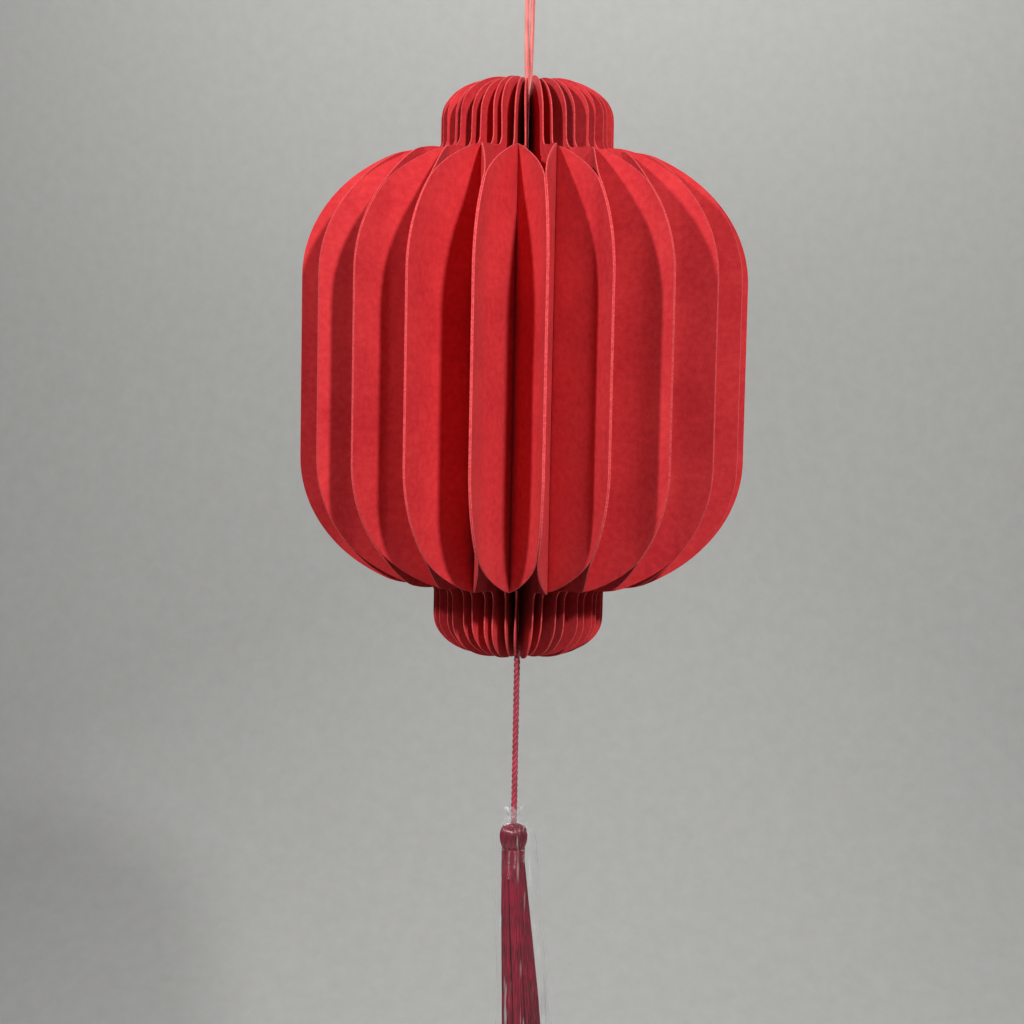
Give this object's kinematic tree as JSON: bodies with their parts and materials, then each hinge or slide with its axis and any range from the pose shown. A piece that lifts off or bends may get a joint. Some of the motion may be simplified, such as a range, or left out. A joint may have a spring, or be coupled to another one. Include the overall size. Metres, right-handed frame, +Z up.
{
  "type": "accordion paper lantern",
  "caption": "Hanging paper lantern of folded card leaves round a spine, with ribbed collars, a doubled hanging cord and a tassel in a clear sleeve.",
  "frame": {"origin": "the hang point: the inside of the top of the hanging loop", "axes": "+Z up along the hanging cord, the front of the open lantern towards -Y"},
  "size_m": [0.1596, 0.1596, 0.4786],
  "materials": {
    "card": "matt red card with a fine felt face",
    "hanging_cord": "coral braided cord",
    "tassel_cord": "crimson two-ply twisted cord",
    "tassel_thread": "crimson rayon thread with a satin sheen",
    "film": "thin clear crinkled film",
    "pad": "double-sided adhesive pad"
  },
  "bodies": {
    "hanger": {"hanging_loop": "hanging_cord", "loop_knot": "hanging_cord", "hanging_cord": "hanging_cord", "spine_cord": "hanging_cord"},
    "leaf_01": {"leaf_01": "card"},
    "leaf_02": {"leaf_02": "card"},
    "leaf_03": {"leaf_03": "card"},
    "leaf_04": {"leaf_04": "card"},
    "leaf_05": {"leaf_05": "card"},
    "leaf_06": {"leaf_06": "card"},
    "leaf_07": {"leaf_07": "card"},
    "leaf_08": {"leaf_08": "card"},
    "leaf_09": {"leaf_09": "card"},
    "leaf_10": {"leaf_10": "card"},
    "leaf_11": {"leaf_11": "card"},
    "leaf_12": {"leaf_12": "card"},
    "leaf_13": {"leaf_13": "card"},
    "leaf_14": {"leaf_14": "card"},
    "leaf_15": {"leaf_15": "card"},
    "leaf_16": {"leaf_16": "card"},
    "leaf_17": {"leaf_17": "card"},
    "leaf_18": {"leaf_18": "card"},
    "leaf_19": {"leaf_19": "card"},
    "leaf_20": {"leaf_20": "card"},
    "leaf_21": {"leaf_21": "card"},
    "leaf_22": {"leaf_22": "card"},
    "leaf_23": {"leaf_23": "card", "closing_pad_upper": "pad", "closing_pad_lower": "pad"},
    "leaf_24": {"leaf_24": "card"},
    "leaf_25": {"leaf_25": "card"},
    "leaf_26": {"leaf_26": "card"},
    "leaf_27": {"leaf_27": "card"},
    "leaf_28": {"leaf_28": "card"},
    "leaf_29": {"leaf_29": "card"},
    "leaf_30": {"leaf_30": "card"},
    "leaf_31": {"leaf_31": "card"},
    "leaf_32": {"leaf_32": "card"},
    "leaf_33": {"leaf_33": "card"},
    "leaf_34": {"leaf_34": "card"},
    "leaf_35": {"leaf_35": "card"},
    "leaf_36": {"leaf_36": "card"},
    "leaf_37": {"leaf_37": "card"},
    "leaf_38": {"leaf_38": "card"},
    "leaf_39": {"leaf_39": "card"},
    "leaf_40": {"leaf_40": "card"},
    "leaf_41": {"leaf_41": "card"},
    "leaf_42": {"leaf_42": "card"},
    "leaf_43": {"leaf_43": "card"},
    "leaf_44": {"leaf_44": "card"},
    "spine_knot": {"spine_knot": "tassel_cord"},
    "tassel_cord": {"tassel_cord": "tassel_cord"},
    "tassel": {"tassel_knob": "tassel_thread", "tassel_binding": "tassel_thread", "tassel_skirt": "tassel_thread", "tassel_sleeve": "film"}
  },
  "joints": [
    {"name": "lantern_spin", "type": "hinge", "parent": "hanger", "child": "leaf_01", "pos_m": [0, 0, -0.165], "axis": [0, 0, 1], "range_deg": [-180, 180]},
    {"name": "fold", "type": "hinge", "parent": "leaf_01", "child": "leaf_02", "pos_m": [0.00421, 0, -0.165], "axis": [0, 0, -1], "range_deg": [0, 8.18]},
    {"name": "fold_03", "type": "hinge", "parent": "leaf_02", "child": "leaf_03", "pos_m": [0.00416, 0.0006, -0.165], "axis": [0, 0, -1], "range_deg": [0, 8.18]},
    {"name": "fold_04", "type": "hinge", "parent": "leaf_03", "child": "leaf_04", "pos_m": [0.00403, 0.00118, -0.165], "axis": [0, 0, -1], "range_deg": [0, 8.18]},
    {"name": "fold_05", "type": "hinge", "parent": "leaf_04", "child": "leaf_05", "pos_m": [0.00383, 0.00175, -0.165], "axis": [0, 0, -1], "range_deg": [0, 8.18]},
    {"name": "fold_06", "type": "hinge", "parent": "leaf_05", "child": "leaf_06", "pos_m": [0.00354, 0.00227, -0.165], "axis": [0, 0, -1], "range_deg": [0, 8.18]},
    {"name": "fold_07", "type": "hinge", "parent": "leaf_06", "child": "leaf_07", "pos_m": [0.00318, 0.00275, -0.165], "axis": [0, 0, -1], "range_deg": [0, 8.18]},
    {"name": "fold_08", "type": "hinge", "parent": "leaf_07", "child": "leaf_08", "pos_m": [0.00275, 0.00318, -0.165], "axis": [0, 0, -1], "range_deg": [0, 8.18]},
    {"name": "fold_09", "type": "hinge", "parent": "leaf_08", "child": "leaf_09", "pos_m": [0.00227, 0.00354, -0.165], "axis": [0, 0, -1], "range_deg": [0, 8.18]},
    {"name": "fold_10", "type": "hinge", "parent": "leaf_09", "child": "leaf_10", "pos_m": [0.00175, 0.00383, -0.165], "axis": [0, 0, -1], "range_deg": [0, 8.18]},
    {"name": "fold_11", "type": "hinge", "parent": "leaf_10", "child": "leaf_11", "pos_m": [0.00118, 0.00403, -0.165], "axis": [0, 0, -1], "range_deg": [0, 8.18]},
    {"name": "fold_12", "type": "hinge", "parent": "leaf_11", "child": "leaf_12", "pos_m": [0.0006, 0.00416, -0.165], "axis": [0, 0, -1], "range_deg": [0, 8.18]},
    {"name": "fold_13", "type": "hinge", "parent": "leaf_12", "child": "leaf_13", "pos_m": [0, 0.00421, -0.165], "axis": [0, 0, -1], "range_deg": [0, 8.18]},
    {"name": "fold_14", "type": "hinge", "parent": "leaf_13", "child": "leaf_14", "pos_m": [-0.0006, 0.00416, -0.165], "axis": [0, 0, -1], "range_deg": [0, 8.18]},
    {"name": "fold_15", "type": "hinge", "parent": "leaf_14", "child": "leaf_15", "pos_m": [-0.00118, 0.00403, -0.165], "axis": [0, 0, -1], "range_deg": [0, 8.18]},
    {"name": "fold_16", "type": "hinge", "parent": "leaf_15", "child": "leaf_16", "pos_m": [-0.00175, 0.00383, -0.165], "axis": [0, 0, -1], "range_deg": [0, 8.18]},
    {"name": "fold_17", "type": "hinge", "parent": "leaf_16", "child": "leaf_17", "pos_m": [-0.00227, 0.00354, -0.165], "axis": [0, 0, -1], "range_deg": [0, 8.18]},
    {"name": "fold_18", "type": "hinge", "parent": "leaf_17", "child": "leaf_18", "pos_m": [-0.00275, 0.00318, -0.165], "axis": [0, 0, -1], "range_deg": [0, 8.18]},
    {"name": "fold_19", "type": "hinge", "parent": "leaf_18", "child": "leaf_19", "pos_m": [-0.00318, 0.00275, -0.165], "axis": [0, 0, -1], "range_deg": [0, 8.18]},
    {"name": "fold_20", "type": "hinge", "parent": "leaf_19", "child": "leaf_20", "pos_m": [-0.00354, 0.00227, -0.165], "axis": [0, 0, -1], "range_deg": [0, 8.18]},
    {"name": "fold_21", "type": "hinge", "parent": "leaf_20", "child": "leaf_21", "pos_m": [-0.00383, 0.00175, -0.165], "axis": [0, 0, -1], "range_deg": [0, 8.18]},
    {"name": "fold_22", "type": "hinge", "parent": "leaf_21", "child": "leaf_22", "pos_m": [-0.00403, 0.00118, -0.165], "axis": [0, 0, -1], "range_deg": [0, 8.18]},
    {"name": "fold_23", "type": "hinge", "parent": "leaf_22", "child": "leaf_23", "pos_m": [-0.00416, 0.0006, -0.165], "axis": [0, 0, -1], "range_deg": [0, 8.18]},
    {"name": "fold_44", "type": "hinge", "parent": "leaf_01", "child": "leaf_44", "pos_m": [0.00416, -0.0006, -0.165], "axis": [0, 0, 1], "range_deg": [0, 8.18]},
    {"name": "fold_43", "type": "hinge", "parent": "leaf_44", "child": "leaf_43", "pos_m": [0.00403, -0.00118, -0.165], "axis": [0, 0, 1], "range_deg": [0, 8.18]},
    {"name": "fold_42", "type": "hinge", "parent": "leaf_43", "child": "leaf_42", "pos_m": [0.00383, -0.00175, -0.165], "axis": [0, 0, 1], "range_deg": [0, 8.18]},
    {"name": "fold_41", "type": "hinge", "parent": "leaf_42", "child": "leaf_41", "pos_m": [0.00354, -0.00227, -0.165], "axis": [0, 0, 1], "range_deg": [0, 8.18]},
    {"name": "fold_40", "type": "hinge", "parent": "leaf_41", "child": "leaf_40", "pos_m": [0.00318, -0.00275, -0.165], "axis": [0, 0, 1], "range_deg": [0, 8.18]},
    {"name": "fold_39", "type": "hinge", "parent": "leaf_40", "child": "leaf_39", "pos_m": [0.00275, -0.00318, -0.165], "axis": [0, 0, 1], "range_deg": [0, 8.18]},
    {"name": "fold_38", "type": "hinge", "parent": "leaf_39", "child": "leaf_38", "pos_m": [0.00227, -0.00354, -0.165], "axis": [0, 0, 1], "range_deg": [0, 8.18]},
    {"name": "fold_37", "type": "hinge", "parent": "leaf_38", "child": "leaf_37", "pos_m": [0.00175, -0.00383, -0.165], "axis": [0, 0, 1], "range_deg": [0, 8.18]},
    {"name": "fold_36", "type": "hinge", "parent": "leaf_37", "child": "leaf_36", "pos_m": [0.00118, -0.00403, -0.165], "axis": [0, 0, 1], "range_deg": [0, 8.18]},
    {"name": "fold_35", "type": "hinge", "parent": "leaf_36", "child": "leaf_35", "pos_m": [0.0006, -0.00416, -0.165], "axis": [0, 0, 1], "range_deg": [0, 8.18]},
    {"name": "fold_34", "type": "hinge", "parent": "leaf_35", "child": "leaf_34", "pos_m": [0, -0.00421, -0.165], "axis": [0, 0, 1], "range_deg": [0, 8.18]},
    {"name": "fold_33", "type": "hinge", "parent": "leaf_34", "child": "leaf_33", "pos_m": [-0.0006, -0.00416, -0.165], "axis": [0, 0, 1], "range_deg": [0, 8.18]},
    {"name": "fold_32", "type": "hinge", "parent": "leaf_33", "child": "leaf_32", "pos_m": [-0.00118, -0.00403, -0.165], "axis": [0, 0, 1], "range_deg": [0, 8.18]},
    {"name": "fold_31", "type": "hinge", "parent": "leaf_32", "child": "leaf_31", "pos_m": [-0.00175, -0.00383, -0.165], "axis": [0, 0, 1], "range_deg": [0, 8.18]},
    {"name": "fold_30", "type": "hinge", "parent": "leaf_31", "child": "leaf_30", "pos_m": [-0.00227, -0.00354, -0.165], "axis": [0, 0, 1], "range_deg": [0, 8.18]},
    {"name": "fold_29", "type": "hinge", "parent": "leaf_30", "child": "leaf_29", "pos_m": [-0.00275, -0.00318, -0.165], "axis": [0, 0, 1], "range_deg": [0, 8.18]},
    {"name": "fold_28", "type": "hinge", "parent": "leaf_29", "child": "leaf_28", "pos_m": [-0.00318, -0.00275, -0.165], "axis": [0, 0, 1], "range_deg": [0, 8.18]},
    {"name": "fold_27", "type": "hinge", "parent": "leaf_28", "child": "leaf_27", "pos_m": [-0.00354, -0.00227, -0.165], "axis": [0, 0, 1], "range_deg": [0, 8.18]},
    {"name": "fold_26", "type": "hinge", "parent": "leaf_27", "child": "leaf_26", "pos_m": [-0.00383, -0.00175, -0.165], "axis": [0, 0, 1], "range_deg": [0, 8.18]},
    {"name": "fold_25", "type": "hinge", "parent": "leaf_26", "child": "leaf_25", "pos_m": [-0.00403, -0.00118, -0.165], "axis": [0, 0, 1], "range_deg": [0, 8.18]},
    {"name": "fold_24", "type": "hinge", "parent": "leaf_25", "child": "leaf_24", "pos_m": [-0.00416, -0.0006, -0.165], "axis": [0, 0, 1], "range_deg": [0, 8.18]},
    {"name": "tassel_swing_front", "type": "hinge", "parent": "hanger", "child": "spine_knot", "pos_m": [0, 0, -0.26533], "axis": [1, 0, 0], "range_deg": [-30, 30]},
    {"name": "tassel_swing_side", "type": "hinge", "parent": "spine_knot", "child": "tassel_cord", "pos_m": [0, 0, -0.26533], "axis": [0, 1, 0], "range_deg": [-30, 30]},
    {"name": "tassel_spin", "type": "hinge", "parent": "tassel_cord", "child": "tassel", "pos_m": [0, 0, -0.33173], "axis": [0, 0, 1], "range_deg": [-180, 180]}
  ],
  "couplings": [
    {"joint": "fold_03", "follows": "fold", "ratio": 1},
    {"joint": "fold_04", "follows": "fold", "ratio": 1},
    {"joint": "fold_05", "follows": "fold", "ratio": 1},
    {"joint": "fold_06", "follows": "fold", "ratio": 1},
    {"joint": "fold_07", "follows": "fold", "ratio": 1},
    {"joint": "fold_08", "follows": "fold", "ratio": 1},
    {"joint": "fold_09", "follows": "fold", "ratio": 1},
    {"joint": "fold_10", "follows": "fold", "ratio": 1},
    {"joint": "fold_11", "follows": "fold", "ratio": 1},
    {"joint": "fold_12", "follows": "fold", "ratio": 1},
    {"joint": "fold_13", "follows": "fold", "ratio": 1},
    {"joint": "fold_14", "follows": "fold", "ratio": 1},
    {"joint": "fold_15", "follows": "fold", "ratio": 1},
    {"joint": "fold_16", "follows": "fold", "ratio": 1},
    {"joint": "fold_17", "follows": "fold", "ratio": 1},
    {"joint": "fold_18", "follows": "fold", "ratio": 1},
    {"joint": "fold_19", "follows": "fold", "ratio": 1},
    {"joint": "fold_20", "follows": "fold", "ratio": 1},
    {"joint": "fold_21", "follows": "fold", "ratio": 1},
    {"joint": "fold_22", "follows": "fold", "ratio": 1},
    {"joint": "fold_23", "follows": "fold", "ratio": 1},
    {"joint": "fold_44", "follows": "fold", "ratio": 1},
    {"joint": "fold_43", "follows": "fold", "ratio": 1},
    {"joint": "fold_42", "follows": "fold", "ratio": 1},
    {"joint": "fold_41", "follows": "fold", "ratio": 1},
    {"joint": "fold_40", "follows": "fold", "ratio": 1},
    {"joint": "fold_39", "follows": "fold", "ratio": 1},
    {"joint": "fold_38", "follows": "fold", "ratio": 1},
    {"joint": "fold_37", "follows": "fold", "ratio": 1},
    {"joint": "fold_36", "follows": "fold", "ratio": 1},
    {"joint": "fold_35", "follows": "fold", "ratio": 1},
    {"joint": "fold_34", "follows": "fold", "ratio": 1},
    {"joint": "fold_33", "follows": "fold", "ratio": 1},
    {"joint": "fold_32", "follows": "fold", "ratio": 1},
    {"joint": "fold_31", "follows": "fold", "ratio": 1},
    {"joint": "fold_30", "follows": "fold", "ratio": 1},
    {"joint": "fold_29", "follows": "fold", "ratio": 1},
    {"joint": "fold_28", "follows": "fold", "ratio": 1},
    {"joint": "fold_27", "follows": "fold", "ratio": 1},
    {"joint": "fold_26", "follows": "fold", "ratio": 1},
    {"joint": "fold_25", "follows": "fold", "ratio": 1},
    {"joint": "fold_24", "follows": "fold", "ratio": 1}
  ]
}
